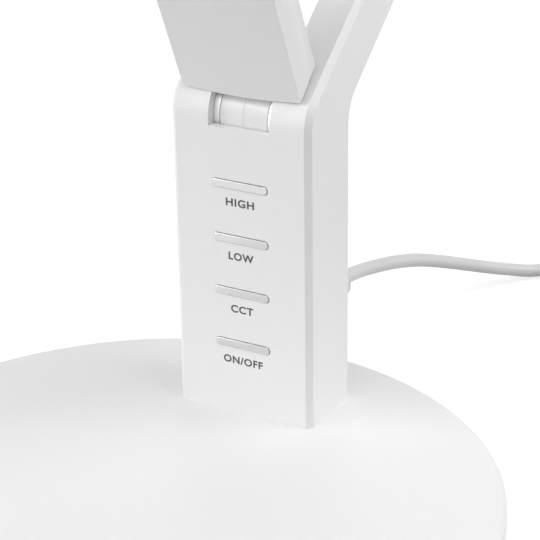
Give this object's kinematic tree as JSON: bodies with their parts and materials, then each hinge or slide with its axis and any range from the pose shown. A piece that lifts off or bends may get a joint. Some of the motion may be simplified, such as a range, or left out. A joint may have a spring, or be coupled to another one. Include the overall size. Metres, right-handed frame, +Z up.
{
  "type": "folding LED desk lamp",
  "caption": "White folding LED desk lamp: round weighted base, forked column with push buttons, a low light bar hinged in the column and a swing arm with a folding light head.",
  "frame": {"origin": "centre of the underside of the round base, on the desk", "axes": "+Z up; the column's button face looks toward -Y and the cord leaves toward +Y; +X is to the right when the buttons are seen from the front"},
  "size_m": [0.2327, 0.5457, 0.4799],
  "materials": {
    "white_plastic": "satin",
    "opal_plastic": "satin",
    "button_plastic": "satin",
    "dark_plastic": "matte",
    "steel": "satin",
    "bright_steel": "satin",
    "pad_rubber": "matte",
    "cord_rubber": "satin",
    "tie_rubber": "matte",
    "pin_brass": "polished",
    "circuit_board": "matte"
  },
  "bodies": {
    "column": {"base_cover": "white_plastic", "base_weight": "steel", "base_pad": "pad_rubber", "base_screws": "steel", "column_housing": "white_plastic", "column_cover": "white_plastic", "column_screws": "steel", "cover_screws": "steel", "control_board": "circuit_board", "board_screws": "steel", "tact_switches": "steel", "driver_board": "circuit_board", "cable_gland": "cord_rubber", "low_pin": "steel", "low_washers": "bright_steel", "elbow_pin": "steel", "elbow_washers": "bright_steel", "cord": "cord_rubber", "cord_coil": "cord_rubber", "coil_tie": "tie_rubber", "cord_tail": "cord_rubber", "plug": "cord_rubber", "plug_pins": "pin_brass"},
    "key_high": {"button_high": "button_plastic", "plunger_high": "dark_plastic"},
    "key_low": {"button_low": "button_plastic", "plunger_low": "dark_plastic"},
    "key_cct": {"button_cct": "button_plastic", "plunger_cct": "dark_plastic"},
    "key_power": {"button_power": "button_plastic", "plunger_power": "dark_plastic"},
    "low_bar": {"low_knuckle_left": "white_plastic", "low_knuckle_right": "white_plastic", "low_diffuser": "opal_plastic", "low_housing": "white_plastic", "low_led_board": "circuit_board", "low_neck_screws": "steel"},
    "arm": {"arm_knuckle_left": "white_plastic", "arm_knuckle_right": "white_plastic", "arm_front": "white_plastic", "arm_back": "white_plastic", "arm_neck_screws": "steel", "head_pin": "steel", "head_washers": "bright_steel"},
    "head": {"head_knuckle_left": "white_plastic", "head_knuckle_right": "white_plastic", "head_diffuser": "opal_plastic", "head_housing": "white_plastic", "head_led_board": "circuit_board", "head_neck_screws": "steel"}
  },
  "joints": [
    {"name": "low_bar_hinge", "type": "hinge", "parent": "column", "child": "low_bar", "pos_m": [0, 0.0695, 0.121], "axis": [1, 0, 0], "range_deg": [0, 42]},
    {"name": "arm_hinge", "type": "hinge", "parent": "column", "child": "arm", "pos_m": [0, 0.12966, 0.17383], "axis": [1, 0, 0], "range_deg": [-32, 28]},
    {"name": "head_hinge", "type": "hinge", "parent": "arm", "child": "head", "pos_m": [0, 0.05946, 0.46561], "axis": [1, 0, 0], "range_deg": [-30, 102]},
    {"name": "high_press", "type": "slide", "parent": "column", "child": "key_high", "axis": [0, 1, 0], "range_m": [0, 0.0005], "stiffness_N_per_m": 600},
    {"name": "low_press", "type": "slide", "parent": "column", "child": "key_low", "axis": [0, 1, 0], "range_m": [0, 0.0005], "stiffness_N_per_m": 600},
    {"name": "cct_press", "type": "slide", "parent": "column", "child": "key_cct", "axis": [0, 1, 0], "range_m": [0, 0.0005], "stiffness_N_per_m": 600},
    {"name": "power_press", "type": "slide", "parent": "column", "child": "key_power", "axis": [0, 1, 0], "range_m": [0, 0.0005], "stiffness_N_per_m": 600}
  ]
}
